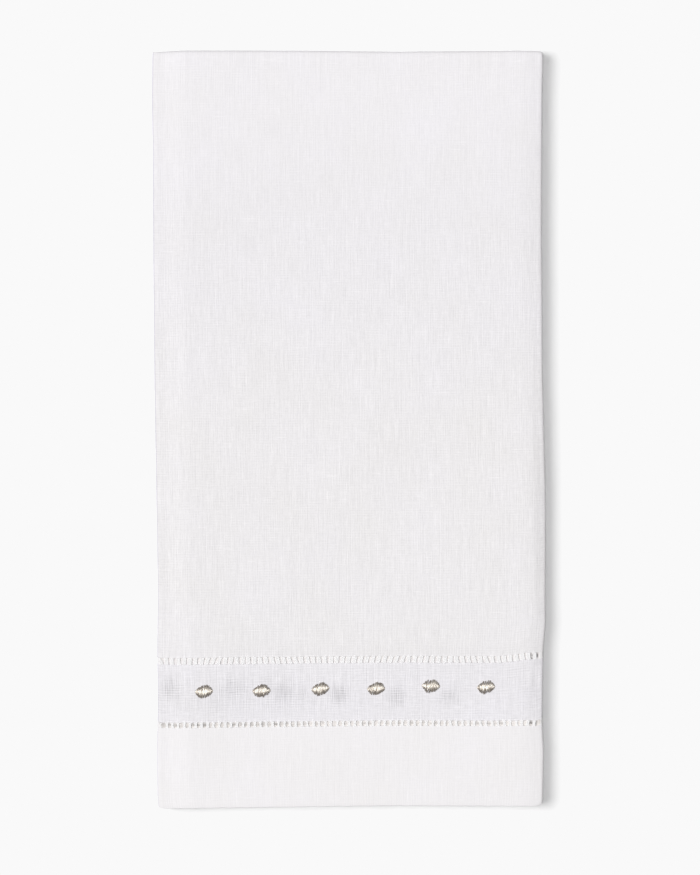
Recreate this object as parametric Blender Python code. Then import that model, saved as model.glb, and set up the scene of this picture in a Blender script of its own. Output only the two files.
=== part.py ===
"""A white linen hand towel with hemstitched rows and six satin-stitched ovals.

It is folded in thirds across its width, with both flaps behind the front panel,
and then in half along its length. It lies face up, with its hemmed end towards -Y
and the half fold towards +Y. Metres, +Z up, origin under the middle of the stack.
"""

import math

import bmesh
import bpy
from mathutils import Matrix, Vector

# Cloth and stack
SHEET = 0.0010
LAYER_GAP = 0.00035
HALF_GAP = 0.0005
LAYER_STEP = SHEET + LAYER_GAP

# Folded size, and the flaps that lie behind the front panel
FOLDED_WIDTH = 0.1321
FOLDED_LENGTH = 0.2535
LEFT_FLAP_EDGE = 0.0522
RIGHT_FLAP_EDGE = -0.0468
BACK_SHORT = 0.0010
LEFT_FLAP_SHORT = 0.0012
RIGHT_FLAP_SHORT = 0.0008

# Where fewer layers lie on each other, each half of the stack is thinner by this much
LEFT_SAG = 0.0004
LEFT_SAG_START = -0.0540
LEFT_SAG_RUN = 0.0100
RIGHT_SAG = 0.00016
RIGHT_SAG_START = 0.0580
RIGHT_SAG_RUN = 0.0064
# How far the left flap hangs below its place behind the front panel at its fold
LEFT_DROP = 0.0006

# Middle of each layer over the plane between the two halves
RIGHT_FLAP_HEIGHT = HALF_GAP / 2 + SHEET / 2
LEFT_FLAP_HEIGHT = RIGHT_FLAP_HEIGHT + LAYER_STEP
FRONT_HEIGHT = LEFT_FLAP_HEIGHT + LAYER_STEP
HALF_STACK = FRONT_HEIGHT + SHEET / 2

# The two side folds, on the middle of the cloth
LEFT_RADIUS = (LAYER_STEP + LEFT_DROP) / 2
RIGHT_RADIUS = LAYER_STEP - RIGHT_SAG / 2
LEFT_CENTRE = -FOLDED_WIDTH / 2 + LEFT_RADIUS + SHEET / 2
RIGHT_CENTRE = FOLDED_WIDTH / 2 - RIGHT_RADIUS - SHEET / 2

# Widths of the flat cloth, from the left flap's free edge to the right flap's
LEFT_FLAP = LEFT_FLAP_EDGE - LEFT_CENTRE
LEFT_TURN = math.pi * LEFT_RADIUS
FRONT_PANEL = RIGHT_CENTRE - LEFT_CENTRE
RIGHT_TURN = math.pi * RIGHT_RADIUS
RIGHT_FLAP = RIGHT_CENTRE - RIGHT_FLAP_EDGE
FLAT_WIDTH = LEFT_FLAP + LEFT_TURN + FRONT_PANEL + RIGHT_TURN + RIGHT_FLAP

# Lengths of the flat cloth, from the front hem to the back hem
FRONT_RUN = FOLDED_LENGTH - HALF_STACK
HALF_TURN = math.pi * FRONT_HEIGHT
BACK_RUN = FRONT_RUN - BACK_SHORT
FLAT_LENGTH = FRONT_RUN + HALF_TURN + BACK_RUN
HALF_FOLD_SQUARENESS = 5.0
LEFT_FOLD_SQUARENESS = 6.0
RIGHT_FOLD_SQUARENESS = 4.0

# Uneven outline: how far each side edge comes in, by distance from the front hem
SIDE_EDGES = (
    # from hem, left in, right in
    (0.0000, 0.0026, 0.0015),
    (0.0030, 0.0021, 0.0010),
    (0.0130, 0.0019, 0.0008),
    (0.0200, 0.0018, 0.0007),
    (0.0265, 0.0020, 0.0011),
    (0.0400, 0.0021, 0.0010),
    (0.0530, 0.0019, 0.0008),
    (0.0620, 0.0020, 0.0000),
    (0.0700, 0.0022, 0.0001),
    (0.0900, 0.0019, 0.0000),
    (0.1080, 0.0016, 0.0001),
    (0.1265, 0.0013, 0.0006),
    (0.1465, 0.0010, 0.0011),
    (0.1700, 0.0008, 0.0012),
    (0.1935, 0.0006, 0.0014),
    (0.2200, 0.0005, 0.0013),
    (0.2370, 0.0002, 0.0012),
    (0.2535, 0.0003, 0.0009),
)
# How far the front hem and the half fold come in, by place across the folded towel
END_EDGES = (
    # across, hem in, fold in
    (-0.0660, 0.0000, 0.0000),
    (-0.0520, 0.0002, 0.0000),
    (-0.0400, 0.0004, 0.0000),
    (-0.0100, 0.0008, 0.0001),
    (0.0150, 0.0011, 0.0004),
    (0.0400, 0.0010, 0.0002),
    (0.0660, 0.0009, 0.0000),
)

# Rolled edge of the right side fold, lower where the towel is widest
ROLL_START = 0.0616
ROLL_RUN = 0.0048
ROLL_DROP = 0.0006
ROLL_MIDDLE = 0.0920
ROLL_REST = 0.0003
ROLL_LENGTH = 0.0440

# Drawn-thread rows, worked as shallow channels along the face
ROW_CENTRES = (0.0277, 0.0492)
ROW_WIDTH = 0.0022
ROW_EASE = 0.0004
ROW_DEPTH = 0.0003

# Lines across the flat panels and along the back half where the cloth may bend
PANEL_LINES = (-0.0640, -0.0615, -0.0590, -0.0565, -0.0540, -0.0400, -0.0200,
               0.0000, 0.0150, 0.0300, 0.0430, 0.0526, 0.0580, 0.0600, 0.0620, 0.0634)
BACK_LINES = (0.0500, 0.1000, 0.1500, 0.2000)
LEFT_FLAP_STEPS = 4
RIGHT_FLAP_STEPS = 5
SIDE_FOLD_STEPS = 6
HALF_FOLD_STEPS = 8
CUT_SNAP = 1e-7

# Satin-stitched ovals
OVAL_LENGTH = 0.0064
OVAL_WIDTH = 0.0042
OVAL_RISE = 0.0007
OVAL_POINT = 0.22
OVAL_CLEARANCE = 0.0003
OVAL_SEGMENTS = 18
OVAL_RINGS = 8
OVAL_SNAP = 1e-6
OVALS = (
    # across, from the folded towel's bottom edge, tilt in degrees
    (-0.0483, 0.0392, 3),
    (-0.0291, 0.0395, 2),
    (-0.0094, 0.0401, 6),
    (0.0092, 0.0402, 2),
    (0.0275, 0.0411, -3),
    (0.0459, 0.0407, 4),
)

LINEN = ((0.86, 0.85, 0.86), 0.9)
THREAD = ((0.36, 0.31, 0.26), 0.45)


def clear_scene():
    """Removes every object that the scene starts with."""
    for item in list(bpy.data.objects):
        bpy.data.objects.remove(item)


def plain_material(name, look):
    """A material of one colour and roughness."""
    colour, roughness = look
    material = bpy.data.materials.new(name)
    material.use_nodes = True
    shader = material.node_tree.nodes["Principled BSDF"]
    shader.inputs["Base Color"].default_value = (*colour, 1)
    shader.inputs["Roughness"].default_value = roughness
    shader.inputs["Metallic"].default_value = 0
    return material


def add_object(name, mesh_maker, material):
    """Turns a finished bmesh into a named object."""
    mesh = bpy.data.meshes.new(name)
    bmesh.ops.recalc_face_normals(mesh_maker, faces=mesh_maker.faces)
    mesh_maker.to_mesh(mesh)
    mesh_maker.free()
    mesh.materials.append(material)
    piece = bpy.data.objects.new(name, mesh)
    bpy.context.collection.objects.link(piece)
    return piece


def table_at(table, at):
    """The columns of a table, read in a straight line between two of its rows."""
    for low, high in zip(table, table[1:]):
        if at <= high[0]:
            share = max(0.0, (at - low[0]) / (high[0] - low[0]))
            return [a + (b - a) * share for a, b in zip(low[1:], high[1:])]
    return table[-1][1:]


def eased(share):
    """A smooth step from 0 to 1."""
    share = min(max(share, 0.0), 1.0)
    return share * share * (3 - 2 * share)


def sag(x):
    """How much thinner each half of the stack is at this place across it."""
    left = LEFT_SAG * eased((LEFT_SAG_START - x) / LEFT_SAG_RUN)
    right = RIGHT_SAG * eased((x - RIGHT_SAG_START) / RIGHT_SAG_RUN)
    return left + right


def section(across, face):
    """Folds the cloth in thirds.

    across runs from the left flap's free edge to the right flap's, and face is the
    distance from the middle of the cloth towards its face. Returns x and the height
    over the plane between the two halves.
    """
    run = across
    if run <= LEFT_FLAP:
        x = LEFT_FLAP_EDGE - run
        drop = LEFT_DROP * eased((LEFT_SAG_START - x) / LEFT_SAG_RUN)
        return x, LEFT_FLAP_HEIGHT - sag(x) - drop - face
    run -= LEFT_FLAP
    if run <= LEFT_TURN:
        reach, rise = squared(run / LEFT_TURN, LEFT_FOLD_SQUARENESS)
        radius = LEFT_RADIUS + face
        centre = (LEFT_FLAP_HEIGHT - LEFT_DROP + FRONT_HEIGHT) / 2 - LEFT_SAG
        return LEFT_CENTRE - radius * reach, centre - radius * rise
    run -= LEFT_TURN
    if run <= FRONT_PANEL:
        x = LEFT_CENTRE + run
        return x, FRONT_HEIGHT - sag(x) + face
    run -= FRONT_PANEL
    if run <= RIGHT_TURN:
        reach, rise = squared(run / RIGHT_TURN, RIGHT_FOLD_SQUARENESS)
        radius = RIGHT_RADIUS + face
        centre = (RIGHT_FLAP_HEIGHT + FRONT_HEIGHT - RIGHT_SAG) / 2
        return RIGHT_CENTRE + radius * reach, centre + radius * rise
    run -= RIGHT_TURN
    return RIGHT_CENTRE - run, RIGHT_FLAP_HEIGHT - face


def squared(share, squareness):
    """A share of a half turn with crisper corners than a circle's: its reach and its rise."""
    power = 2 / squareness
    turn = math.pi * share
    reach = abs(math.sin(turn)) ** power
    rise = math.copysign(abs(math.cos(turn)) ** power, math.cos(turn))
    return reach, rise


def roll(x, y):
    """How far the cloth rolls down beside the right side fold."""
    away = (y + FOLDED_LENGTH / 2 - ROLL_MIDDLE) / ROLL_LENGTH
    drop = ROLL_REST + ROLL_DROP * math.exp(-away * away)
    return drop * eased((x - ROLL_START) / ROLL_RUN)


def set_back(across):
    """How far a flap's hemmed end lies behind the front panel's, most at its free edge."""
    left = LEFT_FLAP_SHORT * max(0.0, 1 - across / LEFT_FLAP)
    right = RIGHT_FLAP_SHORT * max(0.0, 1 - (FLAT_WIDTH - across) / RIGHT_FLAP)
    return left + right


def folded(across, along, face):
    """Where a point of the flat cloth lies once it is folded in thirds and in half."""
    x, height = section(across, face)
    hem_in, fold_in = table_at(END_EDGES, x)
    hem = -FOLDED_LENGTH / 2 + hem_in + set_back(across)
    fold = FOLDED_LENGTH / 2 - HALF_STACK - fold_in
    middle = HALF_STACK - sag(x)
    if along <= FRONT_RUN:
        y = hem + (fold - hem) * along / FRONT_RUN
        z = middle + height - roll(x, y) * height / FRONT_HEIGHT
    elif along <= FRONT_RUN + HALF_TURN:
        reach, rise = squared((along - FRONT_RUN) / HALF_TURN, HALF_FOLD_SQUARENESS)
        y = fold + height * reach
        z = middle + height * rise
    else:
        back = (along - FRONT_RUN - HALF_TURN) / BACK_RUN
        y = fold - (fold - hem - BACK_SHORT) * back
        z = middle - height
    left_in, right_in = table_at(SIDE_EDGES, y + FOLDED_LENGTH / 2)
    share = x / (FOLDED_WIDTH / 2)
    shift = left_in * max(-share, 0.0) - right_in * max(share, 0.0)
    return Vector((x + shift, y, z))


def steps(start, end, count):
    """Even steps from start to end, with neither of them."""
    return [start + (end - start) * i / count for i in range(1, count)]


def lines_across():
    """Lines along which the flat cloth is cut up across its width."""
    left_fold = LEFT_FLAP + LEFT_TURN
    right_fold = left_fold + FRONT_PANEL
    right_flap = right_fold + RIGHT_TURN
    lines = [LEFT_FLAP, left_fold, right_fold, right_flap]
    lines += steps(LEFT_FLAP, left_fold, SIDE_FOLD_STEPS)
    lines += steps(right_fold, right_flap, SIDE_FOLD_STEPS)
    lines += [LEFT_FLAP_EDGE - x for x in PANEL_LINES if x < LEFT_SAG_START + SHEET]
    lines += steps(0, LEFT_FLAP_EDGE - LEFT_SAG_START, LEFT_FLAP_STEPS)
    lines += [left_fold + x - LEFT_CENTRE for x in PANEL_LINES]
    lines += steps(right_flap, FLAT_WIDTH, RIGHT_FLAP_STEPS)
    return lines


def lines_along():
    """Lines along which the flat cloth is cut up along its length."""
    back = FRONT_RUN + HALF_TURN
    lines = [FRONT_RUN, back, *(from_hem for from_hem, *_ in SIDE_EDGES[1:-1])]
    for centre in ROW_CENTRES:
        for side in (-1, 1):
            edge = centre + side * ROW_WIDTH / 2
            lines += [edge, edge + side * ROW_EASE]
    lines += steps(FRONT_RUN, back, HALF_FOLD_STEPS)
    lines += [back + distance for distance in BACK_LINES]
    return lines


def in_row(along):
    """Whether this distance from the front hem is on the floor of a drawn-thread row."""
    return any(abs(along - centre) < (ROW_WIDTH + ROW_EASE) / 2 for centre in ROW_CENTRES)


def make_towel(material):
    """Cuts a flat slab of cloth, channels its rows, and folds it."""
    cloth = bmesh.new()
    size = Matrix.Diagonal((FLAT_WIDTH, FLAT_LENGTH, SHEET, 1))
    place = Matrix.Translation((FLAT_WIDTH / 2, FLAT_LENGTH / 2, 0))
    bmesh.ops.create_cube(cloth, size=1, matrix=place @ size)
    cuts = [((at, 0, 0), (1, 0, 0)) for at in lines_across()]
    cuts += [((0, at, 0), (0, 1, 0)) for at in lines_along()]
    for point, direction in cuts:
        parts = [*cloth.verts, *cloth.edges, *cloth.faces]
        bmesh.ops.bisect_plane(cloth, geom=parts, dist=CUT_SNAP, plane_co=point, plane_no=direction)
    for vert in cloth.verts:
        across, along, face = vert.co
        if face > 0 and in_row(along):
            face -= ROW_DEPTH
        vert.co = folded(across, along, face)
    return add_object("towel_cloth", cloth, material)


def make_oval(number, across, from_hem, tilt, material):
    """A low, slightly pointed pad of satin stitch, flat underneath."""
    pad = bmesh.new()
    bmesh.ops.create_uvsphere(pad, u_segments=OVAL_SEGMENTS, v_segments=OVAL_RINGS, radius=1)
    parts = [*pad.verts, *pad.edges, *pad.faces]
    cut = bmesh.ops.bisect_plane(pad, geom=parts, dist=OVAL_SNAP, plane_co=(0, 0, 0),
                                 plane_no=(0, 0, 1), clear_inner=True)
    rim = [part for part in cut["geom_cut"] if isinstance(part, bmesh.types.BMEdge)]
    bmesh.ops.edgeloop_fill(pad, edges=rim)
    for vert in pad.verts:
        x, y, z = vert.co
        vert.co = (x * OVAL_LENGTH / 2, y * (1 - OVAL_POINT * x * x) * OVAL_WIDTH / 2,
                   z * OVAL_RISE)
    place = Matrix.Translation((across, from_hem - FOLDED_LENGTH / 2,
                                2 * HALF_STACK + OVAL_CLEARANCE))
    turn = Matrix.Rotation(math.radians(tilt), 4, "Z")
    bmesh.ops.transform(pad, matrix=place @ turn, verts=pad.verts)
    return add_object(f"satin_oval_{number}", pad, material)


clear_scene()
linen = plain_material("linen", LINEN)
thread = plain_material("thread", THREAD)
make_towel(linen)
for index, (across, from_hem, tilt) in enumerate(OVALS, start=1):
    make_oval(index, across, from_hem, tilt, thread)
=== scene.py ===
import math
import random

import bmesh
import bpy
from mathutils import Matrix, Vector


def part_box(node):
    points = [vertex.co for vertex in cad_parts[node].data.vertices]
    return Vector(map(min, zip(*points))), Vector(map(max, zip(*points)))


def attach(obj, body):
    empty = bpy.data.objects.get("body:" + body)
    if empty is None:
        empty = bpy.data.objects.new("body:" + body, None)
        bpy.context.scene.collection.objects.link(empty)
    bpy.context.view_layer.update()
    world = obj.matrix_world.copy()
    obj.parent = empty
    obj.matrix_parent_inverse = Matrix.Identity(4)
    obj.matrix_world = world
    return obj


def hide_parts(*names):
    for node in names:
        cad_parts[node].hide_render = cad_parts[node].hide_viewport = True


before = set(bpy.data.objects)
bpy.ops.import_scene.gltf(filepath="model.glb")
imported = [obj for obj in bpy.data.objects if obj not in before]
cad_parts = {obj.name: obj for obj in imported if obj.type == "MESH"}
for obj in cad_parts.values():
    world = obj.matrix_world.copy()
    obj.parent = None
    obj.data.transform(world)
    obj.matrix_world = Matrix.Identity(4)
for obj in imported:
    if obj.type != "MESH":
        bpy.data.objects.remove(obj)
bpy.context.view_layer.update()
LOW, HIGH = (Vector(corner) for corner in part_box("towel_cloth"))

# Folded size, from the frame
FOLDED_WIDTH = HIGH.x - LOW.x
FOLDED_LENGTH = HIGH.y - LOW.y
HALF_STACK = (HIGH.z - LOW.z) / 2

# Stack: the room that each layer has, the air between layers, and the flaps' free edges
LAYER = 0.0010
LAYER_GAP = 0.00035
LAYER_STEP = LAYER + LAYER_GAP
LEFT_FLAP_EDGE = 0.0522
RIGHT_FLAP_EDGE = -0.0468
BACK_SHORT = 0.0010
LEFT_FLAP_SHORT = 0.0012
RIGHT_FLAP_SHORT = 0.0008
FRONT_HEIGHT = HALF_STACK - LAYER / 2
LEFT_FLAP_HEIGHT = FRONT_HEIGHT - LAYER_STEP
RIGHT_FLAP_HEIGHT = LEFT_FLAP_HEIGHT - LAYER_STEP

# Where fewer layers lie on each other, each half of the stack is thinner by this much
LEFT_SAG = 0.0004
LEFT_SAG_START = -0.0540
LEFT_SAG_RUN = 0.0100
RIGHT_SAG = 0.00016
RIGHT_SAG_START = 0.0580
RIGHT_SAG_RUN = 0.0064
# How far the left flap hangs below its place behind the front panel at its fold
LEFT_DROP = 0.0006

# Side folds, and the widths of the flat cloth between them
LEFT_RADIUS = (LAYER_STEP + LEFT_DROP) / 2
RIGHT_RADIUS = LAYER_STEP - RIGHT_SAG / 2
LEFT_CENTRE = -FOLDED_WIDTH / 2 + LEFT_RADIUS + LAYER / 2
RIGHT_CENTRE = FOLDED_WIDTH / 2 - RIGHT_RADIUS - LAYER / 2
LEFT_FOLD = LEFT_FLAP_EDGE - LEFT_CENTRE
FRONT_START = LEFT_FOLD + math.pi * LEFT_RADIUS
RIGHT_FOLD = FRONT_START + RIGHT_CENTRE - LEFT_CENTRE
RIGHT_FLAP_START = RIGHT_FOLD + math.pi * RIGHT_RADIUS
FLAT_WIDTH = RIGHT_FLAP_START + RIGHT_CENTRE - RIGHT_FLAP_EDGE

# Half fold, and the lengths of the flat cloth on each side of it
FRONT_RUN = FOLDED_LENGTH - HALF_STACK
BACK_START = FRONT_RUN + math.pi * FRONT_HEIGHT
BACK_RUN = FRONT_RUN - BACK_SHORT
FLAT_LENGTH = BACK_START + BACK_RUN
HALF_FOLD_SQUARENESS = 5.0
LEFT_FOLD_SQUARENESS = 6.0
RIGHT_FOLD_SQUARENESS = 4.0

# Uneven outline: how far each side edge comes in, by distance from the front hem
SIDE_EDGES = (
    # from hem, left in, right in
    (0.0000, 0.0029, 0.0019),
    (0.0006, 0.0024, 0.0013),
    (0.0030, 0.0021, 0.0010),
    (0.0130, 0.0019, 0.0008),
    (0.0200, 0.0018, 0.0007),
    (0.0265, 0.0020, 0.0011),
    (0.0400, 0.0021, 0.0010),
    (0.0530, 0.0019, 0.0008),
    (0.0620, 0.0020, 0.0000),
    (0.0700, 0.0022, 0.0001),
    (0.0900, 0.0019, 0.0000),
    (0.1080, 0.0016, 0.0001),
    (0.1265, 0.0013, 0.0006),
    (0.1465, 0.0010, 0.0011),
    (0.1700, 0.0008, 0.0012),
    (0.1935, 0.0006, 0.0014),
    (0.2200, 0.0005, 0.0013),
    (0.2370, 0.0002, 0.0012),
    (0.2535, 0.0004, 0.0009),
)
# How far the front hem and the half fold come in, by place across the folded towel
END_EDGES = (
    # across, hem in, fold in
    (-0.0661, 0.0007, 0.0001),
    (-0.0650, 0.0001, 0.0000),
    (-0.0520, 0.0002, 0.0000),
    (-0.0400, 0.0004, 0.0000),
    (-0.0100, 0.0008, 0.0001),
    (0.0150, 0.0011, 0.0004),
    (0.0400, 0.0010, 0.0002),
    (0.0640, 0.0009, 0.0000),
    (0.0661, 0.0017, 0.0002),
)

# Cloth: its face and back over the middle of the room that its layer has
HEM_FACES = (0.0005, -0.0005)
FIELD_FACES = (0.00042, -0.00018)
ROW_FACES = (0.00006, -0.00018)
ROW_FOLD_FACE = 0.00032
# The length over which the field rises from the lower row to the height of the hem's face
FIELD_FLUSH = 0.12
# The hem's end is rounded over a short length, and its tip keeps a little thickness
HEM_ROUND = 0.0003
HEM_TIP = 0.002

# Unevenness of pressed cloth, the share of the front half that it fades over, and the hem's waver
RELIEF_RISE = 0.00006
RIPPLE_RISE = 0.000018
RELIEF_FADE = 1 / 8
HEM_WAVER = 0.00006

# Parts that the flat cloth is cut into, between its folds, sags, rows and hems
EDGE_LINE = 0.0002
EDGE_END = 0.0010
FLAP_PARTS = 30
LEFT_SAG_PARTS = 12
SIDE_FOLD_PARTS = 12
PANEL_PARTS = 44
RIGHT_SAG_PARTS = 10
HEM_LINES = (0, 0.00002, 0.00007, 0.00016, HEM_ROUND)
HEM_LINES_END = 0.0015
HEM_PARTS = 12
ROW_PARTS = 2
BAND_PARTS = 12
FIELD_PARTS = 60
HALF_FOLD_PARTS = 22
BACK_PARTS = 36
BACK_HEM_STEP = 0.0004
BACK_HEM_PARTS = 8
SMOOTH_ANGLE = 50

# Rolled edge of the right side fold, lower where the towel is widest
ROLL_START = 0.0616
ROLL_RUN = 0.0048
ROLL_DROP = 0.0006
ROLL_MIDDLE = 0.0920
ROLL_REST = 0.0003
ROLL_LENGTH = 0.0440

# Rows and threads climb a little near the right side fold
DRIFT = 0.0013
DRIFT_START = 0.0500
DRIFT_RUN = 0.0135
DRIFT_LENGTH = 0.0140

# Drawn-thread rows between the hem, the band and the field, and their bundles' pitch
PITCH = 0.002028
ROW_WALL = 0.00006
ROWS = {
    # centre, height, spread of a bundle's threads, waist, lean
    "hemstitch_lower": (0.0278, 0.0018, 0.00042, 0.60, 0.06),
    "hemstitch_upper": (0.0492, 0.0022, 0.00045, 0.93, 0.26),
}
ROW_NAMES = tuple(ROWS)
LOWER_ROW, UPPER_ROW = (row[0] for row in ROWS.values())
# How many pitches past the middle of the left side fold a bundle stands
ROW_PHASE = 0.61

# Threads of a bundle, its stitches, and a stray thread across an opening
STRAND_SIDES = 6
STRAND_RINGS = 7
STRAND_RADIUS = 0.00029
STRAND_REACH = 1.12
STITCH_THICKNESS = 0.70
STITCH_PATH = (
    # across, past the row's edge, up
    (-0.00070, 0.00030, -0.00018),
    (-0.00035, 0.00022, -0.00002),
    (0.00005, 0.00008, 0.00004),
    (0.00045, -0.00004, -0.00002),
    (0.00070, -0.00012, -0.00026),
)
STRAY_THICKNESS = 0.62
STRAY_PLACES = (0.15, 0.38, 0.62, 0.85)
STRAY_SHARE = 0.04
STRAY_REACH = 0.34
STRAY_SLOPE = 0.5
STRAY_HIDDEN = 0.0004
STRAY_LEVEL = 1.6

# How bundles differ: the slow swing of their lean, and the spread of each measure
LEAN_SWING = 0.21
LEAN_DRIFT = 0.6
LEAN_DRIFT_SWING = 0.093
LEAN_SPREAD = 0.07
SHIFT_SPREAD = 0.00007
WAIST_SPREAD = 0.07

# Painted shade in the holes of the lower and the upper row
HOLE_SHADES = (
    # painted shade at the left end, its share at the middle and at the ends, warmth of the shade
    (-0.27, 1.35, 0.45, 1.35),
    (-0.040, 1.10, 0.90, 0.9),
)
# Steps across the front in the painted shade of the holes, darkest by the right side fold
HOLE_SHADE_CHANGES = (
    # across, run, lower row, upper row
    (-0.0210, 0.0060, 0.11, 0.00),
    (0.0527, 0.0006, 0.10, 0.045),
    (0.0607, 0.0004, -0.30, -0.42),
    (0.0640, 0.0003, 0.30, 0.42),
)
# How softly the painted shade of a hole ends at its row's edge, in millimetres
HOLE_SHADE_SOFTNESS = 0.1

# Satin-stitched ovals
OVAL_LENGTH = 0.0064
OVAL_WIDTH = 0.0043
OVAL_RISE = 0.00085
OVAL_SUNK = 0.00008
OVAL_FULLNESS = 0.74
SATIN_STITCHES = 19
SATIN_RADIUS = 0.00024
SATIN_RINGS = 10
SATIN_SLANT = 0.30
SATIN_THINNING = 0.35
SATIN_DIP = 0.96
SATIN_BEDDING = 0.6
# Painted highlight on the satin stitches: where along a stitch it centres, how fast it falls away,
# and how much weaker it is towards the oval's ends
HIGHLIGHT_MIDDLE = 0.12
HIGHLIGHT_FALL = 1.15
HIGHLIGHT_DULLING = 0.5
# How satin stitches differ
SLANT_SPREAD = 0.10
END_SPREAD = 0.05
HIGHLIGHT_SPREAD = 0.22
LIFT_SPREAD = 0.08
OVALS = (
    # across, from the folded towel's bottom edge, tilt in degrees
    (-0.0483, 0.0392, 3),
    (-0.0291, 0.0395, 2),
    (-0.0094, 0.0401, 6),
    (0.0092, 0.0402, 2),
    (0.0275, 0.0411, -3),
    (0.0459, 0.0407, 4),
)

# Colours, finishes as roughness and gloss, and bumps as strength and rise
LINEN_COLOUR = (0.788, 0.771, 0.781)
LINEN_FINISH = (0.88, 0.25)
LINEN_SHEEN = 0.08
LINEN_BUMP = (0.35, 0.00008)
# Warmer tint of the painted shade in the holes
HOLE_SHADE_WARMTH = (0, -0.018, -0.050)
WHITE_THREAD_COLOUR = (0.828, 0.819, 0.824)
WHITE_THREAD_FINISH = (0.8, 0.3)
WHITE_THREAD_BUMP = (0.4, 0.00005)
SATIN_FINISH = (0.34, 0.5)
SATIN_METALLIC = 0.55
SATIN_BUMP = (0.5, 0.00006)
FLOOR_COLOUR = (0.90, 0.90, 0.90, 1)
FLOOR_FINISH = (1.0, 0.0)

# Fibres and patches of the threads: features a millimetre, detail and roughness
WHITE_FIBRE = ((5.0, 1.2, 5.0), 2.0, 0.6)
WHITE_FIBRE_TONE = 0.12
SATIN_FIBRE = ((4.5, 0.8, 2.0), 3.0, 0.6)
SATIN_PATCH = ((1.3, 0.5, 0.5), 1.0)
# How far the satin thread's fibres and patches lighten it, and the painted highlight near the
# stitches' crests, from dark to light taupe
SATIN_TONES = {"fibre": 0.9, "patch": 1.2, "crest_highlight": 0.62}
SATIN_BASE = 0.16
SATIN_RAMP = (
    # position, colour
    (0.2, (0.335, 0.294, 0.255, 1)),
    (0.85, (0.78, 0.73, 0.655, 1)),
)

# Noises of the linen
LINEN_NOISES = {
    # features a millimetre across, along and through, and detail
    "warp": ((2.1, 0.13, 1), 0.5),
    "short_warp": ((2.4, 0.5, 2), 0.5),
    "long_warp": ((1.9, 0.03, 1), 1.0),
    "weft": ((0.26, 2.2, 1), 0.5),
    "grain": ((2.4, 2.2, 1), 0.5),
    "mottle": ((0.055, 0.045, 1), 2.0),
    "slub": ((1.5, 0.10, 1), 1.0),
    "cross_slub": ((0.11, 1.9, 1), 1.0),
    "open_warp": ((0.30, 0.22, 1), 1.0),
    "open_weft": ((0.22, 0.30, 2), 1.0),
    "hole_shade_spots": ((0.47, 1.1, 1), 0.0),
}
# Steps that turn some of these noises to slubs, to stronger and weaker threads, and to darker and
# lighter painted shade in the holes
SLUB_STEP = (0.17, 0.26)
OPEN_STEP = (-0.1, 0.15, 0.2, 1.5)
HOLE_SHADE_STEP = (-0.2, 0.2, 0.5, 1.5)
THREADS = (
    # name, way, spacing in millimetres, the noise that opens them
    ("threads", "X", 0.78, "open_warp"),
    ("cross_threads", "Y", 0.84, "open_weft"),
)

# How much each part changes the tone of the weave, the band, the slubs and the lattice
WEAVE_TONES = {
    "warp": 0.130,
    "short_warp": 0.088,
    "long_warp": 0.090,
    "grain": 0.10,
    "weft": 0.067,
    "threads": 0.045,
    "cross_threads": 0.029,
}
BAND_TONES = {"weft": 0.065, "cross_threads": 0.015, "long_warp": 0.05}
SLUB_TONES = {"slub": 0.065, "cross_slub": 0.058}
LATTICE_TONES = {"threads": 0.12, "cross_threads": 0.12, "warp": 0.32}
LATTICE_BASE = -0.14
MOTTLE_TONE = 0.035
BAND_LOOSENESS = 0.10

# Steps along the flat cloth: where the band is, and where the weave is calmer
BAND_STEPS = (
    # from, to, value before, value after
    (LOWER_ROW - 0.0005, LOWER_ROW + 0.0015, 0.0, 1.0),
    (UPPER_ROW - 0.0010, UPPER_ROW + 0.0015, 0.0, -1.0),
)
CALM_STEPS = (
    (LOWER_ROW - 0.0010, LOWER_ROW + 0.0010, 0.5, 1.0),
    (0.165, 0.235, 1.0, 0.62),
)
# Steps of the tone: hem to band, band to field, painted light towards and over the half fold, taken
# off again over the back, and painted light at the hem's end
TONE_STEPS = (
    (LOWER_ROW - 0.0010, LOWER_ROW + 0.0010, 0.040, -0.026),
    (UPPER_ROW - 0.0020, UPPER_ROW + 0.0080, 0.0, 0.024),
    (FRONT_RUN - 0.0620, FRONT_RUN, 0.0, 0.034),
    (BACK_START, BACK_START + 0.0600, 0.0, -0.034),
    (0.0, 0.0007, 0.06, 0.0),
)

# Cooler tints of the band, the painted shade along the left side fold, the mottling and the upper
# field
BAND_COOL = 0.020
FOLD_SHADE_COOL = 0.05
MOTTLE_COOL = 0.03
COOL_STEP = (0.125, 0.175, 0.0, 0.011)

# Painted grey shade along the left side fold: its half width in millimetres, and less of it near the
# hem
FOLD_SHADE_EDGES = (1.05, 1.25)
FOLD_SHADE_TONE = -0.17
FOLD_SHADE_STEP = (0.040, 0.150, 0.65, 1.0)

# Height of the linen's bump in its thicker threads and slubs
BUMP_PARTS = {"warp": 1.6, "weft": 1.2, "slub": 0.6}

# Ovals of the flap behind, which show faintly through the band, and a broad soft shade
SHOWN_THROUGH_AND_SHADE = (
    # across the front, from the bottom edge, half width, half height, strength
    (-0.0613, 0.0400, 0.0032, 0.0042, 0.66),
    (-0.0407, 0.0401, 0.0048, 0.0030, 0.45),
    (-0.0226, 0.0384, 0.0038, 0.0029, 0.70),
    (-0.0161, 0.0384, 0.0018, 0.0026, 0.40),
    (-0.0034, 0.0376, 0.0030, 0.0032, 0.95),
    (0.0160, 0.0366, 0.0033, 0.0035, 0.85),
    (0.0347, 0.0369, 0.0038, 0.0032, 0.66),
    (0.0619, 0.0379, 0.0020, 0.0050, 0.25),
    # A broad soft painted shade over the left half of the band
    (-0.0313, 0.0374, 0.0360, 0.0062, 0.22),
)
# Each fades between these shares of its half sizes
SHOWN_FADE = (0.2, 1.5)

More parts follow.
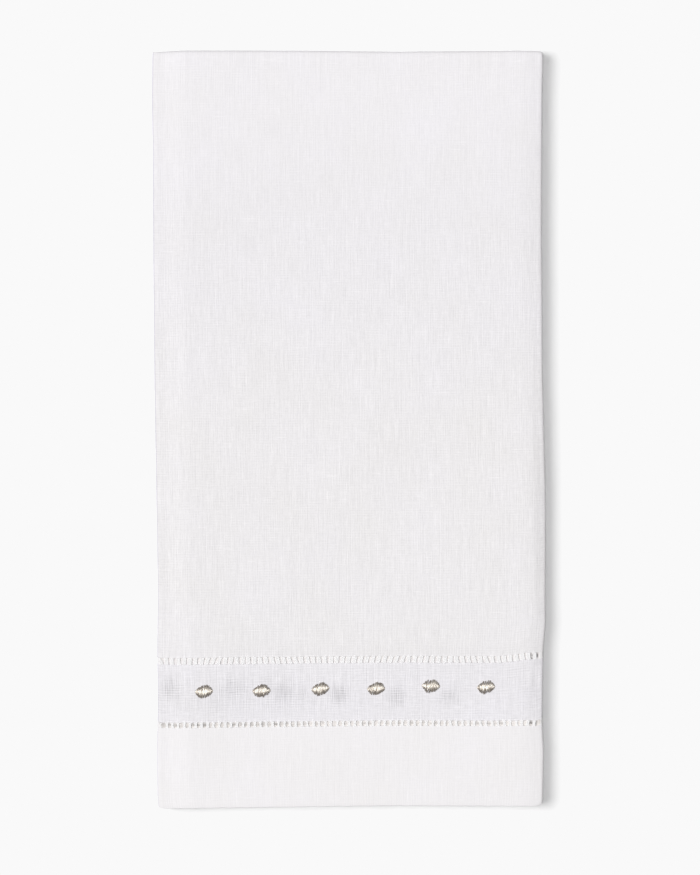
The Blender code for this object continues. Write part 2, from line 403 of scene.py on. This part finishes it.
# Camera and picture
PHOTO_WIDTH_M = 0.2338
CAMERA_HEIGHT = 2.0
CAMERA_X = 0.00048
CAMERA_Y = -0.00265
SENSOR = 36.0
BACKDROP_TONE = 0.9473
FILL_LIGHT = 0.115
BACKDROP_LIGHT = 0.9
FLOOR_SIZE = 4
FLOOR_DROP = 0.0002
LIGHTS = (
    # name, strength, then spread, tilt and heading in degrees
    ("key_from_left", 2.14, 36, 31.5, 172),
    ("overhead", 1.24, 14, 0, 0),
)


def table_at(table, at):
    """The columns of a table, read in a straight line between two of its rows."""
    for low, high in zip(table, table[1:]):
        if at <= high[0]:
            share = max(0.0, (at - low[0]) / (high[0] - low[0]))
            return [a + (b - a) * share for a, b in zip(low[1:], high[1:])]
    return table[-1][1:]


def eased(share):
    """A smooth step from 0 to 1."""
    share = min(max(share, 0.0), 1.0)
    return share * share * (3 - 2 * share)


def sag(x):
    """How much thinner each half of the stack is at this place across it."""
    left = LEFT_SAG * eased((LEFT_SAG_START - x) / LEFT_SAG_RUN)
    right = RIGHT_SAG * eased((x - RIGHT_SAG_START) / RIGHT_SAG_RUN)
    return left + right


def section(across, face):
    """Folds the cloth in thirds: x, and the height over the plane between the halves."""
    if across <= LEFT_FOLD:
        x = LEFT_FLAP_EDGE - across
        drop = LEFT_DROP * eased((LEFT_SAG_START - x) / LEFT_SAG_RUN)
        return x, LEFT_FLAP_HEIGHT - sag(x) - drop - face
    if across <= FRONT_START:
        reach, rise = squared((across - LEFT_FOLD) / LEFT_RADIUS, LEFT_FOLD_SQUARENESS)
        radius = LEFT_RADIUS + face
        centre = (LEFT_FLAP_HEIGHT - LEFT_DROP + FRONT_HEIGHT) / 2 - LEFT_SAG
        return LEFT_CENTRE - radius * reach, centre - radius * rise
    if across <= RIGHT_FOLD:
        x = LEFT_CENTRE + across - FRONT_START
        return x, FRONT_HEIGHT - sag(x) + face
    if across <= RIGHT_FLAP_START:
        reach, rise = squared((across - RIGHT_FOLD) / RIGHT_RADIUS, RIGHT_FOLD_SQUARENESS)
        radius = RIGHT_RADIUS + face
        centre = (RIGHT_FLAP_HEIGHT + FRONT_HEIGHT - RIGHT_SAG) / 2
        return RIGHT_CENTRE + radius * reach, centre + radius * rise
    return RIGHT_CENTRE - across + RIGHT_FLAP_START, RIGHT_FLAP_HEIGHT - face


def squared(turn, squareness):
    """A half turn with crisper corners than a circle's: its reach and its rise."""
    power = 2 / squareness
    reach = abs(math.sin(turn)) ** power
    rise = math.copysign(abs(math.cos(turn)) ** power, math.cos(turn))
    return reach, rise


def relief(x, y):
    """Soft unevenness of pressed cloth, in crossed waves that the front half's layers share."""
    broad = math.sin(x * 61 + 1.3) * math.sin(y * 47 + 0.4) + 0.6 * math.sin(x * 118 - y * 83)
    ripple = math.sin(x * 310 + 2 * math.sin(y * 70)) * math.sin(y * 165 + 1.1)
    return RELIEF_RISE * broad + RIPPLE_RISE * ripple


def waver(x):
    """The slight waver of the hem's end, as waves across the towel."""
    return HEM_WAVER * math.sin(x * 900 + 5 * math.sin(x * 130))


def roll(x, y):
    """How far the cloth rolls down beside the right side fold."""
    away = (y + FOLDED_LENGTH / 2 - ROLL_MIDDLE) / ROLL_LENGTH
    drop = ROLL_REST + ROLL_DROP * math.exp(-away * away)
    return drop * eased((x - ROLL_START) / ROLL_RUN)


def drift(x, along):
    """How far the weft climbs beside the right side fold, most at the upper row."""
    away = (along - UPPER_ROW) / DRIFT_LENGTH
    return DRIFT * eased((x - DRIFT_START) / DRIFT_RUN) * math.exp(-away * away)


def set_back(across):
    """How far a flap's hemmed end lies behind the front panel's, most at its free edge."""
    right_flap = FLAT_WIDTH - RIGHT_FLAP_START
    left = LEFT_FLAP_SHORT * max(0.0, 1 - across / LEFT_FOLD)
    right = RIGHT_FLAP_SHORT * max(0.0, (across - RIGHT_FLAP_START) / right_flap)
    return left + right


def folded(point):
    """Where a point of the flat cloth lies once it is folded: across, along, face to x, y, z."""
    across, along, face = point
    x, height = section(across, face)
    hem_in, fold_in = table_at(END_EDGES, x)
    hem = -FOLDED_LENGTH / 2 + hem_in + set_back(across) + waver(x)
    fold = FOLDED_LENGTH / 2 - HALF_STACK - fold_in
    middle = HALF_STACK - sag(x)
    if along <= FRONT_RUN:
        share = along / FRONT_RUN
        y = hem + (fold - hem) * share
        quiet = eased((1 - share) / RELIEF_FADE)
        z = middle + height + (relief(x, y) * quiet - roll(x, y)) * height / FRONT_HEIGHT
        y += drift(x, along) * eased(height / FRONT_HEIGHT)
    elif along <= BACK_START:
        reach, rise = squared((along - FRONT_RUN) / FRONT_HEIGHT, HALF_FOLD_SQUARENESS)
        y = fold + height * reach
        z = middle + height * rise
    else:
        back = (along - BACK_START) / BACK_RUN
        y = fold - (fold - hem - BACK_SHORT) * back
        z = middle - height
    left_in, right_in = table_at(SIDE_EDGES, y + FOLDED_LENGTH / 2)
    share = x / (FOLDED_WIDTH / 2)
    shift = left_in * max(-share, 0.0) - right_in * max(share, 0.0)
    return Vector((x + shift, y, z))


def front_across(x):
    """The place across the flat cloth of a place across the front panel."""
    return FRONT_START + x - LEFT_CENTRE


def cloth_faces(across, along):
    """The cloth's face and back at this place on the flat cloth."""
    for centre, height, *_ in ROWS.values():
        if abs(along - centre) < (height - ROW_WALL) / 2:
            front, back = ROW_FACES
            on_fold = LEFT_FOLD < across < FRONT_START or RIGHT_FOLD < across < RIGHT_FLAP_START
            return (ROW_FOLD_FACE if on_fold else front), back
    from_end = min(along, FLAT_LENGTH - along)
    if from_end < LOWER_ROW:
        front, back = HEM_FACES
        middle = (front + back) / 2
        round_off = max(0.0, 1 - from_end / HEM_ROUND)
        half = (front - back) / 2 * math.sqrt(max(0.0, 1 - round_off * round_off) + HEM_TIP)
        return middle + half, middle - half
    front, back = FIELD_FACES
    lifted = (HEM_FACES[0] - front) * eased((along - LOWER_ROW) / FIELD_FLUSH)
    return front + lifted, back + lifted


def steps(start, end, count):
    """Even steps from start to end, with both of them."""
    return [start + (end - start) * i / count for i in range(count + 1)]


def lines_across():
    """Lines across the flat cloth, close at its folds and where it sags."""
    flap_sag = LEFT_FLAP_EDGE - LEFT_SAG_START
    left_sag, right_sag = front_across(LEFT_SAG_START), front_across(RIGHT_SAG_START)
    lines = [0, EDGE_LINE]
    for start, end, count in (
        (EDGE_END, flap_sag, FLAP_PARTS),
        (flap_sag, LEFT_FOLD, LEFT_SAG_PARTS),
        (LEFT_FOLD, FRONT_START, SIDE_FOLD_PARTS),
        (FRONT_START, left_sag, LEFT_SAG_PARTS),
        (left_sag, right_sag, PANEL_PARTS),
        (right_sag, RIGHT_FOLD, RIGHT_SAG_PARTS),
        (RIGHT_FOLD, RIGHT_FLAP_START, SIDE_FOLD_PARTS),
    ):
        lines += steps(start, end, count)[:-1]
    lines += steps(RIGHT_FLAP_START, FLAT_WIDTH - EDGE_END, FLAP_PARTS)
    lines += [FLAT_WIDTH - EDGE_LINE, FLAT_WIDTH]
    return lines


def lines_along():
    """Lines along the hem, the two rows, the band, and the field with its plain back hem."""
    (low, low_high, *_), (up, up_high, *_) = ROWS.values()
    back_hem = FLAT_LENGTH - low
    lines = [*HEM_LINES, *steps(HEM_LINES_END, low - low_high / 2, HEM_PARTS)]
    lines += steps(low - low_high / 2 + ROW_WALL, low + low_high / 2 - ROW_WALL, ROW_PARTS)
    lines += steps(low + low_high / 2, up - up_high / 2, BAND_PARTS)
    lines += steps(up - up_high / 2 + ROW_WALL, up + up_high / 2 - ROW_WALL, ROW_PARTS)
    lines += steps(up + up_high / 2, FRONT_RUN, FIELD_PARTS)[:-1]
    lines += steps(FRONT_RUN, BACK_START, HALF_FOLD_PARTS)[:-1]
    lines += steps(BACK_START, back_hem - BACK_HEM_STEP, BACK_PARTS)
    lines += steps(back_hem, FLAT_LENGTH - HEM_LINES_END, BACK_HEM_PARTS)
    lines += [FLAT_LENGTH - distance for distance in reversed(HEM_LINES)]
    return lines


def make_cloth(material):
    """The towel's cloth, laid out flat with its thin rows, and folded."""
    across_lines, along_lines = lines_across(), lines_along()
    columns, rows = len(across_lines) - 1, len(along_lines) - 1
    cloth = bmesh.new()
    flat_map = cloth.loops.layers.uv.new("Cloth")
    unit = Matrix.Translation((0.5, 0.5, 0)) @ Matrix.Diagonal((0.5, 0.5, 1, 1))
    bmesh.ops.create_grid(cloth, x_segments=columns, y_segments=rows, size=1, matrix=unit)
    for vert in cloth.verts:
        column, row = round(vert.co.x * columns), round(vert.co.y * rows)
        vert.co = (across_lines[column], along_lines[row], 1)
    back = bmesh.ops.extrude_face_region(cloth, geom=cloth.faces[:])
    for part in back["geom"]:
        if isinstance(part, bmesh.types.BMVert):
            part.co.z = 0
    for face in cloth.faces:
        for loop in face.loops:
            loop[flat_map].uv = loop.vert.co.xy
    for vert in cloth.verts:
        across, along, side = vert.co
        front, back = cloth_faces(across, along)
        vert.co = folded((across, along, front if side > 0.5 else back))
    return finish_piece("towel_linen", cloth, material, smooth_angle=SMOOTH_ANGLE)


def finish_piece(name, shape, material, smooth_angle=180):
    """Turns a bmesh into a smooth piece that rides on the one body."""
    bmesh.ops.recalc_face_normals(shape, faces=shape.faces)
    mesh = bpy.data.meshes.new(name)
    shape.to_mesh(mesh)
    shape.free()
    mesh.materials.append(material)
    mesh.shade_smooth()
    mesh.set_sharp_from_angle(angle=math.radians(smooth_angle))
    piece = bpy.data.objects.new(name, mesh)
    bpy.context.collection.objects.link(piece)
    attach(piece, "root")
    return piece


def add_strand(shape, path, radius):
    """A thread along a path of points, made from one ring that is extruded."""
    first = bmesh.ops.create_circle(shape, segments=STRAND_SIDES, radius=radius, cap_ends=True)
    ring = first["verts"]
    for vert in ring:
        vert.co = Vector((vert.co.x, 0, vert.co.y)) + path[0]
    edges = list({edge for vert in ring for edge in vert.link_edges})
    place = path[0]
    for point in path[1:]:
        grown = bmesh.ops.extrude_edge_only(shape, edges=edges)["geom"]
        ring = [part for part in grown if isinstance(part, bmesh.types.BMVert)]
        edges = [part for part in grown if isinstance(part, bmesh.types.BMEdge)
                 and all(vert in ring for vert in part.verts)]
        bmesh.ops.translate(shape, verts=ring, vec=point - place)
        place = point
    bmesh.ops.contextual_create(shape, geom=edges)


def repeated(template, count, step):
    """A bmesh of count copies of a template, step apart, in order."""
    mesh = bpy.data.meshes.new("repeat")
    template.to_mesh(mesh)
    template.free()
    piece = bpy.data.objects.new("repeat", mesh)
    bpy.context.collection.objects.link(piece)
    array = piece.modifiers.new("Array", "ARRAY")
    array.count = count
    array.use_relative_offset = False
    array.use_constant_offset = True
    array.constant_offset_displace = step
    shape = bmesh.new()
    shape.from_object(piece, bpy.context.evaluated_depsgraph_get())
    bpy.data.objects.remove(piece)
    bpy.data.meshes.remove(mesh)
    return shape


def bundle_template(height, spread):
    """One bundle of upright threads, side by side."""
    bundle = bmesh.new()
    for side in (-1, 0, 1):
        path = [Vector((side * spread, (ring / (STRAND_RINGS - 1) - 0.5) * height * STRAND_REACH, 0))
                for ring in range(STRAND_RINGS)]
        add_strand(bundle, path, STRAND_RADIUS)
    return bundle


def stitch_template(height):
    """The short slanted stitches that tie a bundle to the cloth on both sides of the row."""
    stitch = bmesh.new()
    for end in (-1, 1):
        path = [Vector((x, end * height / 2 + end * past, z)) for x, past, z in STITCH_PATH]
        add_strand(stitch, path, STRAND_RADIUS * STITCH_THICKNESS)
    return stitch


def stray_template():
    """A fine stray thread across the opening beside a bundle."""
    stray = bmesh.new()
    path = [Vector((PITCH * share, 0, 0)) for share in STRAY_PLACES]
    add_strand(stray, path, STRAND_RADIUS * STRAY_THICKNESS)
    return stray


def lean_swing(number):
    """How the bundles' lean swings slowly from side to side along a row."""
    return math.sin(number * LEAN_SWING + LEAN_DRIFT * math.sin(number * LEAN_DRIFT_SWING))


def make_row(name, material):
    """A row of hemstitch: waisted, leaning bundles tied by stitches at both sides."""
    centre, height, spread, waist, lean = ROWS[name]
    chance = random.Random(name)
    start = ((LEFT_FOLD + FRONT_START) / 2 + ROW_PHASE * PITCH) % PITCH
    count = int((FLAT_WIDTH - start) / PITCH)
    leans = [lean * lean_swing(number) + chance.gauss(0, LEAN_SPREAD) for number in range(count)]
    shifts = [chance.gauss(0, SHIFT_SPREAD) for _ in range(count)]
    waists = [waist + chance.gauss(0, WAIST_SPREAD) for _ in range(count)]
    heights = [chance.uniform(-STRAY_REACH, STRAY_REACH) * height for _ in range(count)]
    slopes = [chance.gauss(0, STRAY_SLOPE) for _ in range(count)]
    sunk = [0 if chance.random() < STRAY_SHARE else STRAY_HIDDEN for _ in range(count)]
    front = FIELD_FACES[0]
    row = bmesh.new()
    scratch = bpy.data.meshes.new(name)

    for template, raise_by, loose in (
        (bundle_template(height, spread), front - STRAND_RADIUS, False),
        (stitch_template(height), front, False),
        (stray_template(), front - STRAND_RADIUS * STRAY_LEVEL, True),
    ):
        size = len(template.verts)
        copies = repeated(template, count, (PITCH, 0, 0))
        for vert in copies.verts:
            number = vert.index // size
            x, y, z = vert.co
            x -= number * PITCH
            if loose:
                y += heights[number] + slopes[number] * (x - PITCH / 2)
                z -= sunk[number]
            else:
                level = y / height * 2
                narrow = waists[number] + (1 - waists[number]) * min(level * level, 1.0)
                x = x * narrow + leans[number] * y + shifts[number]
            vert.co = folded((start + number * PITCH + x, centre + y, z + raise_by))
        copies.to_mesh(scratch)
        row.from_mesh(scratch)
        copies.free()
    bpy.data.meshes.remove(scratch)
    return finish_piece(name, row, material)


def make_oval(number, across, from_hem, tilt, material):
    """A padded oval of slanting satin stitches, laid side by side over the band."""
    chance = random.Random(number)
    template = bmesh.new()
    path = [Vector((0, ring / (SATIN_RINGS - 1) * 2 - 1, 0)) for ring in range(SATIN_RINGS)]
    add_strand(template, path, SATIN_RADIUS)
    size = len(template.verts)
    stitches = repeated(template, SATIN_STITCHES, (0, 0, 0))
    crest_highlight = stitches.verts.layers.float.new("crest_highlight")
    turn = Matrix.Rotation(math.radians(tilt), 4, "Z")
    level = HIGH.z - OVAL_SUNK
    slants = [SATIN_SLANT + chance.gauss(0, SLANT_SPREAD) for _ in range(SATIN_STITCHES)]
    ends = [(chance.gauss(1, END_SPREAD), chance.gauss(1, END_SPREAD)) for _ in range(SATIN_STITCHES)]
    crests = [chance.gauss(HIGHLIGHT_MIDDLE, HIGHLIGHT_SPREAD) for _ in range(SATIN_STITCHES)]
    lifts = [chance.gauss(1, LIFT_SPREAD) for _ in range(SATIN_STITCHES)]
    for vert in stitches.verts:
        stitch = vert.index // size
        x, y, z = vert.co
        share = (stitch + 0.5) / SATIN_STITCHES * 2 - 1
        reach = (1 - share * share) ** OVAL_FULLNESS * ends[stitch][0 if y < 0 else 1]
        at = max(-1.0, min(1.0, y))
        # Painted highlight near each stitch's crest, weaker towards the oval's ends
        crest = max(0.0, 1 - abs(at - crests[stitch]) * HIGHLIGHT_FALL)
        vert[crest_highlight] = crest * (1 - HIGHLIGHT_DULLING * share ** 4)
        dip = math.sqrt(1 - SATIN_DIP * at * at)
        rise = OVAL_RISE * lifts[stitch] * (1 - abs(share) ** 3) * dip
        thin = 1 - SATIN_THINNING * at * at
        half = reach * OVAL_WIDTH / 2
        spot = Vector((share * (OVAL_LENGTH / 2 - SATIN_RADIUS) + x * thin
                       + slants[stitch] * at * half * (1 - share * share), at * half, 0))
        spot = turn @ spot
        vert.co = Vector((across, from_hem - FOLDED_LENGTH / 2, level)) + spot
        vert.co.z += rise - SATIN_RADIUS * (1 - at * at) * SATIN_BEDDING + z * thin
    piece = finish_piece(f"stitched_oval_{number}", stitches, material)
    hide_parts(f"satin_oval_{number}")
    return piece


def add_node(tree, kind, inputs=None, **settings):
    """A node with its settings, and with its inputs linked or set."""
    made = tree.nodes.new(kind)
    for name, value in settings.items():
        setattr(made, name, value)
    for key, value in (inputs or {}).items():
        if isinstance(value, bpy.types.NodeSocket):
            tree.links.new(value, made.inputs[key])
        else:
            made.inputs[key].default_value = value
    return made


def add(tree, first, second):
    """The sum of two values."""
    return add_node(tree, "ShaderNodeMath", {0: first, 1: second}, operation="ADD").outputs[0]


def times(tree, first, second):
    """The product of two values."""
    return add_node(tree, "ShaderNodeMath", {0: first, 1: second}, operation="MULTIPLY").outputs[0]


def away_from(tree, value, place):
    """How far a value is from a place, on either side."""
    return add_node(tree, "ShaderNodeMath", {0: add(tree, value, -place)},
                    operation="ABSOLUTE").outputs[0]


def total_of(tree, values):
    """The sum of several values."""
    total, *others = values
    for value in others:
        total = add(tree, total, value)
    return total


def weighted(tree, parts, amounts):
    """The sum of named parts, each taken by its amount."""
    return total_of(tree, [times(tree, parts[name], amount) for name, amount in amounts.items()])


def scaled_colour(tree, colour, brightness):
    """A colour made lighter or darker by a brightness about one."""
    return add_node(tree, "ShaderNodeVectorMath", {0: colour, "Scale": brightness},
                    operation="SCALE").outputs[0]


def set_finish(shader, roughness, gloss):
    """Sets how rough a shader is, and how much it shines."""
    shader.inputs["Roughness"].default_value = roughness
    shader.inputs["Specular IOR Level"].default_value = gloss


def set_bump(tree, shader, height, strength, rise):
    """Gives a shader a bump of this strength and rise in metres."""
    bump = add_node(tree, "ShaderNodeBump",
                    {"Height": height, "Strength": strength, "Distance": rise})
    tree.links.new(bump.outputs[0], shader.inputs["Normal"])


def stretched_noise(tree, vector, scale, detail=2.0, roughness=0.5):
    """Noise about zero, stretched by a scale in each direction, in features a millimetre."""
    place = add_node(tree, "ShaderNodeVectorMath", {0: vector, 1: scale}, operation="MULTIPLY")
    noise = add_node(tree, "ShaderNodeTexNoise",
                     {"Vector": place.outputs[0], "Scale": 1.0, "Detail": detail,
                      "Roughness": roughness})
    return add(tree, noise.outputs["Fac"], -0.5)


def between(tree, value, low, high, out_low=0.0, out_high=1.0):
    """A smooth step from low to high."""
    step = add_node(tree, "ShaderNodeMapRange",
                    {"Value": value, "From Min": low, "From Max": high,
                     "To Min": out_low, "To Max": out_high},
                    interpolation_type="SMOOTHSTEP")
    return step.outputs[0]


def uneven_threads(tree, vector, way, spacing):
    """Threads about zero at a spacing in millimetres, pulled a little out of line."""
    wave = add_node(tree, "ShaderNodeTexWave",
                    {"Vector": vector, "Scale": math.pi / 10 / spacing, "Distortion": 2.5,
                     "Detail": 1.0, "Detail Scale": 0.25},
                    wave_type="BANDS", bands_direction=way)
    return add(tree, wave.outputs["Fac"], -0.5)


def step_along(tree, along, start, end, before, after):
    """A smooth step between two places along the flat cloth, given in metres."""
    return between(tree, along, start * 1000, end * 1000, before, after)


def start_material(name):
    """A new material with its tree and its shader."""
    material = bpy.data.materials.new(name)
    material.use_nodes = True
    tree = material.node_tree
    return material, tree, tree.nodes["Principled BSDF"]


def in_millimetres(tree, place):
    """A place in metres, given in millimetres."""
    return add_node(tree, "ShaderNodeVectorMath", {0: place, "Scale": 1000.0},
                    operation="SCALE").outputs[0]


def linen_parts(tree, place):
    """The linen's noises, slubs and threads by name, in values that change with the place."""
    parts = {name: stretched_noise(tree, place, scale, detail)
             for name, (scale, detail) in LINEN_NOISES.items()}
    for name in ("slub", "cross_slub"):
        parts[name] = between(tree, parts[name], *SLUB_STEP)
    for name, way, spacing, opening in THREADS:
        parts[name] = times(tree, uneven_threads(tree, place, way, spacing),
                            between(tree, parts[opening], *OPEN_STEP))
    return parts


def weave_tone(tree, along, parts, in_band):
    """The tone of the weave and its slubs, calmer in the hem and towards the half fold."""
    calm = times(tree, *(step_along(tree, along, *step) for step in CALM_STEPS))
    loose = add(tree, calm, times(tree, in_band, BAND_LOOSENESS))
    band_weave = times(tree, weighted(tree, parts, BAND_TONES), in_band)
    weave = add(tree, weighted(tree, parts, WEAVE_TONES), band_weave)
    return total_of(tree, (
        times(tree, weave, loose),
        times(tree, parts["mottle"], MOTTLE_TONE),
        times(tree, weighted(tree, parts, SLUB_TONES), calm)))


def shown_through_and_shade(tree, place, parts):
    """The tone of the ovals behind the band and of a broad painted shade, broken up by the lattice of
    threads over them.
    """
    spots = []
    for x, from_hem, half_width, half_height, strength in SHOWN_THROUGH_AND_SHADE:
        centre = (front_across(x) * 1000, from_hem * 1000, 0)
        size = (1 / (half_width * 1000), 1 / (half_height * 1000), 0)
        offset = add_node(tree, "ShaderNodeVectorMath", {0: place, 1: centre}, operation="SUBTRACT")
        scaled = add_node(tree, "ShaderNodeVectorMath", {0: offset.outputs[0], 1: size},
                          operation="MULTIPLY")
        away = add_node(tree, "ShaderNodeVectorMath", {0: scaled.outputs[0]}, operation="LENGTH")
        spots.append(between(tree, away.outputs["Value"], *SHOWN_FADE, strength, 0.0))
    lattice = add(tree, weighted(tree, parts, LATTICE_TONES), LATTICE_BASE)
    return times(tree, total_of(tree, spots), lattice)


def row_hole_shade(tree, across, along, spots):
    """The painted shade in the holes of both rows, and where and how much that shade is warmer."""
    tones, warmths = [], []
    for (centre, height, *_), (shade_amount, middle, ends, warmth), *changes in zip(
            ROWS.values(), HOLE_SHADES, *(row[2:] for row in HOLE_SHADE_CHANGES)):
        half = height / 2 * 1000
        away = away_from(tree, along, centre * 1000)
        inside = between(tree, away, half - HOLE_SHADE_SOFTNESS, half, 1.0, 0.0)
        for (x, run, *_), step in zip(HOLE_SHADE_CHANGES, changes):
            start = front_across(x) * 1000
            shade_amount = add(tree, between(tree, across, start, start + run * 1000, 0.0, step), shade_amount)
        for share in (spots, between(tree, away, 0.0, half, middle, ends), inside):
            shade_amount = times(tree, shade_amount, share)
        tones.append(shade_amount)
        warmths.append(times(tree, inside, warmth))
    return total_of(tree, tones), total_of(tree, warmths)


def fold_shade_line(tree, across, along):
    """Where the painted grey shade along the left side fold is, less towards the front hem."""
    away = away_from(tree, across, (LEFT_FOLD + FRONT_START) / 2 * 1000)
    return times(tree, between(tree, away, *FOLD_SHADE_EDGES, 1.0, 0.0),
                 step_along(tree, along, *FOLD_SHADE_STEP))


def linen_bump(tree, shader, place, parts):
    """Gives the linen its fine crossed threads, with thicker ones and slubs."""
    weave = [add_node(tree, "ShaderNodeTexWave",
                      {"Vector": place, "Scale": 0.74, "Distortion": 1.2, "Detail": 2.0,
                       "Detail Scale": 0.5},
                      wave_type="BANDS", bands_direction=way).outputs["Fac"] for way in "XY"]
    height = add(tree, times(tree, *weave), weighted(tree, parts, BUMP_PARTS))
    set_bump(tree, shader, height, *LINEN_BUMP)


def linen_material():
    """Fine white linen: uneven threads, slubs, a denser hem, and a sheer band."""
    material, tree, shader = start_material("white_linen")
    place = in_millimetres(tree, add_node(tree, "ShaderNodeUVMap", uv_map="Cloth").outputs[0])
    split = add_node(tree, "ShaderNodeSeparateXYZ", {0: place})
    across, along = split.outputs["X"], split.outputs["Y"]
    parts = linen_parts(tree, place)
    in_band = add(tree, *(step_along(tree, along, *step) for step in BAND_STEPS))
    # Painted grey shade along the left side fold
    fold_shade = fold_shade_line(tree, across, along)
    spots = between(tree, parts["hole_shade_spots"], *HOLE_SHADE_STEP)
    # Painted shade in the rows' holes, and where it is warmer
    holes, warm = row_hole_shade(tree, across, along, spots)

    tone = total_of(tree, (
        weave_tone(tree, along, parts, in_band),
        *(step_along(tree, along, *step) for step in TONE_STEPS),
        shown_through_and_shade(tree, place, parts),
        times(tree, fold_shade, FOLD_SHADE_TONE),
        holes))
    cool = total_of(tree, (
        times(tree, in_band, BAND_COOL),
        times(tree, fold_shade, FOLD_SHADE_COOL),
        step_along(tree, along, *COOL_STEP),
        times(tree, parts["mottle"], MOTTLE_COOL)))
    tint = add_node(tree, "ShaderNodeVectorMath", {0: warm, 1: HOLE_SHADE_WARMTH, 2: (1, 1, 1)},
                    operation="MULTIPLY_ADD")
    tint = add_node(tree, "ShaderNodeVectorMath", {0: cool, 1: (0, 0, 1), 2: tint.outputs[0]},
                    operation="MULTIPLY_ADD")
    colour = scaled_colour(tree, LINEN_COLOUR, add(tree, tone, 1.0))
    colour = add_node(tree, "ShaderNodeVectorMath", {0: colour, 1: tint.outputs[0]},
                      operation="MULTIPLY")
    tree.links.new(colour.outputs[0], shader.inputs["Base Color"])
    linen_bump(tree, shader, place, parts)
    set_finish(shader, *LINEN_FINISH)
    shader.inputs["Sheen Weight"].default_value = LINEN_SHEEN
    return material


def white_thread_material():
    """The white linen threads and stitches of the drawn-thread rows."""
    material, tree, shader = start_material("white_thread")
    place = in_millimetres(tree, add_node(tree, "ShaderNodeTexCoord").outputs["Object"])
    fibre = stretched_noise(tree, place, *WHITE_FIBRE)
    brightness = add(tree, times(tree, fibre, WHITE_FIBRE_TONE), 1.0)
    tree.links.new(scaled_colour(tree, WHITE_THREAD_COLOUR, brightness),
                   shader.inputs["Base Color"])
    set_bump(tree, shader, fibre, *WHITE_THREAD_BUMP)
    set_finish(shader, *WHITE_THREAD_FINISH)
    return material


def satin_thread_material():
    """Lustrous taupe embroidery thread, with a painted highlight near the stitches' crests."""
    material, tree, shader = start_material("taupe_satin_thread")
    place = in_millimetres(tree, add_node(tree, "ShaderNodeTexCoord").outputs["Object"])
    fibre = stretched_noise(tree, place, *SATIN_FIBRE)
    patch = stretched_noise(tree, place, *SATIN_PATCH)
    crest_highlight = add_node(tree, "ShaderNodeAttribute", attribute_name="crest_highlight").outputs["Fac"]
    share = weighted(tree, {"fibre": fibre, "patch": patch, "crest_highlight": crest_highlight}, SATIN_TONES)
    ramp = add_node(tree, "ShaderNodeValToRGB", {"Fac": add(tree, share, SATIN_BASE)})
    for stop, (position, colour) in zip(ramp.color_ramp.elements, SATIN_RAMP):
        stop.position = position
        stop.color = colour
    tree.links.new(ramp.outputs[0], shader.inputs["Base Color"])
    set_bump(tree, shader, fibre, *SATIN_BUMP)
    set_finish(shader, *SATIN_FINISH)
    shader.inputs["Metallic"].default_value = SATIN_METALLIC
    return material


def limit_white(view):
    """Holds the picture's brightest tone at the photographed backdrop's pale grey."""
    view.use_curve_mapping = True
    tones = view.curve_mapping.curves[3].points
    tones.new(BACKDROP_TONE, BACKDROP_TONE)
    tones[-1].location = (1, BACKDROP_TONE)
    for tone in tones:
        tone.handle_type = "VECTOR"
    view.curve_mapping.update()


def make_floor():
    """The plain pale floor just under the towel."""
    shape = bmesh.new()
    bmesh.ops.create_grid(shape, x_segments=1, y_segments=1, size=FLOOR_SIZE)
    bmesh.ops.translate(shape, verts=shape.verts, vec=(0, 0, -FLOOR_DROP))
    mesh = bpy.data.meshes.new("floor")
    shape.to_mesh(mesh)
    shape.free()
    floor = bpy.data.objects.new("floor", mesh)
    bpy.context.collection.objects.link(floor)
    material, _, shader = start_material("pale_floor")
    shader.inputs["Base Color"].default_value = FLOOR_COLOUR
    set_finish(shader, *FLOOR_FINISH)
    mesh.materials.append(material)


def make_lights(scene):
    """A soft key from the left, a soft light overhead, and an even fill from all round."""
    for name, strength, spread, tilt, heading in LIGHTS:
        light = bpy.data.lights.new(name, "SUN")
        light.energy = strength
        light.angle = math.radians(spread)
        lamp = bpy.data.objects.new(name, light)
        lamp.rotation_euler = (0, math.radians(tilt), math.radians(heading))
        bpy.context.collection.objects.link(lamp)

    world = bpy.data.worlds.new("studio")
    world.use_nodes = True
    tree = world.node_tree
    fill = tree.nodes["Background"]
    fill.inputs["Color"].default_value = (1, 1, 1, 1)
    path = add_node(tree, "ShaderNodeLightPath")
    strength = add_node(tree, "ShaderNodeMapRange",
                        {"Value": path.outputs["Is Camera Ray"], "To Min": FILL_LIGHT,
                         "To Max": BACKDROP_LIGHT})
    tree.links.new(strength.outputs[0], fill.inputs["Strength"])
    scene.world = world


def make_camera(scene):
    """The camera straight above, with the photograph's frame and tones."""
    lens = bpy.data.cameras.new("camera")
    lens.sensor_fit = "HORIZONTAL"
    lens.sensor_width = SENSOR
    lens.lens = SENSOR * (CAMERA_HEIGHT - HIGH.z) / PHOTO_WIDTH_M
    camera = bpy.data.objects.new("camera", lens)
    camera.location = (CAMERA_X, CAMERA_Y, CAMERA_HEIGHT)
    bpy.context.collection.objects.link(camera)
    scene.camera = camera
    scene.view_settings.view_transform = "Standard"
    limit_white(scene.view_settings)


make_floor()
make_lights(bpy.context.scene)
make_camera(bpy.context.scene)
linen = linen_material()
white_thread = white_thread_material()
satin_thread = satin_thread_material()
cloth = make_cloth(linen)
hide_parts("towel_cloth")
rows = [make_row(name, white_thread) for name in ROW_NAMES]
ovals = [make_oval(number, *place, satin_thread) for number, place in enumerate(OVALS, start=1)]
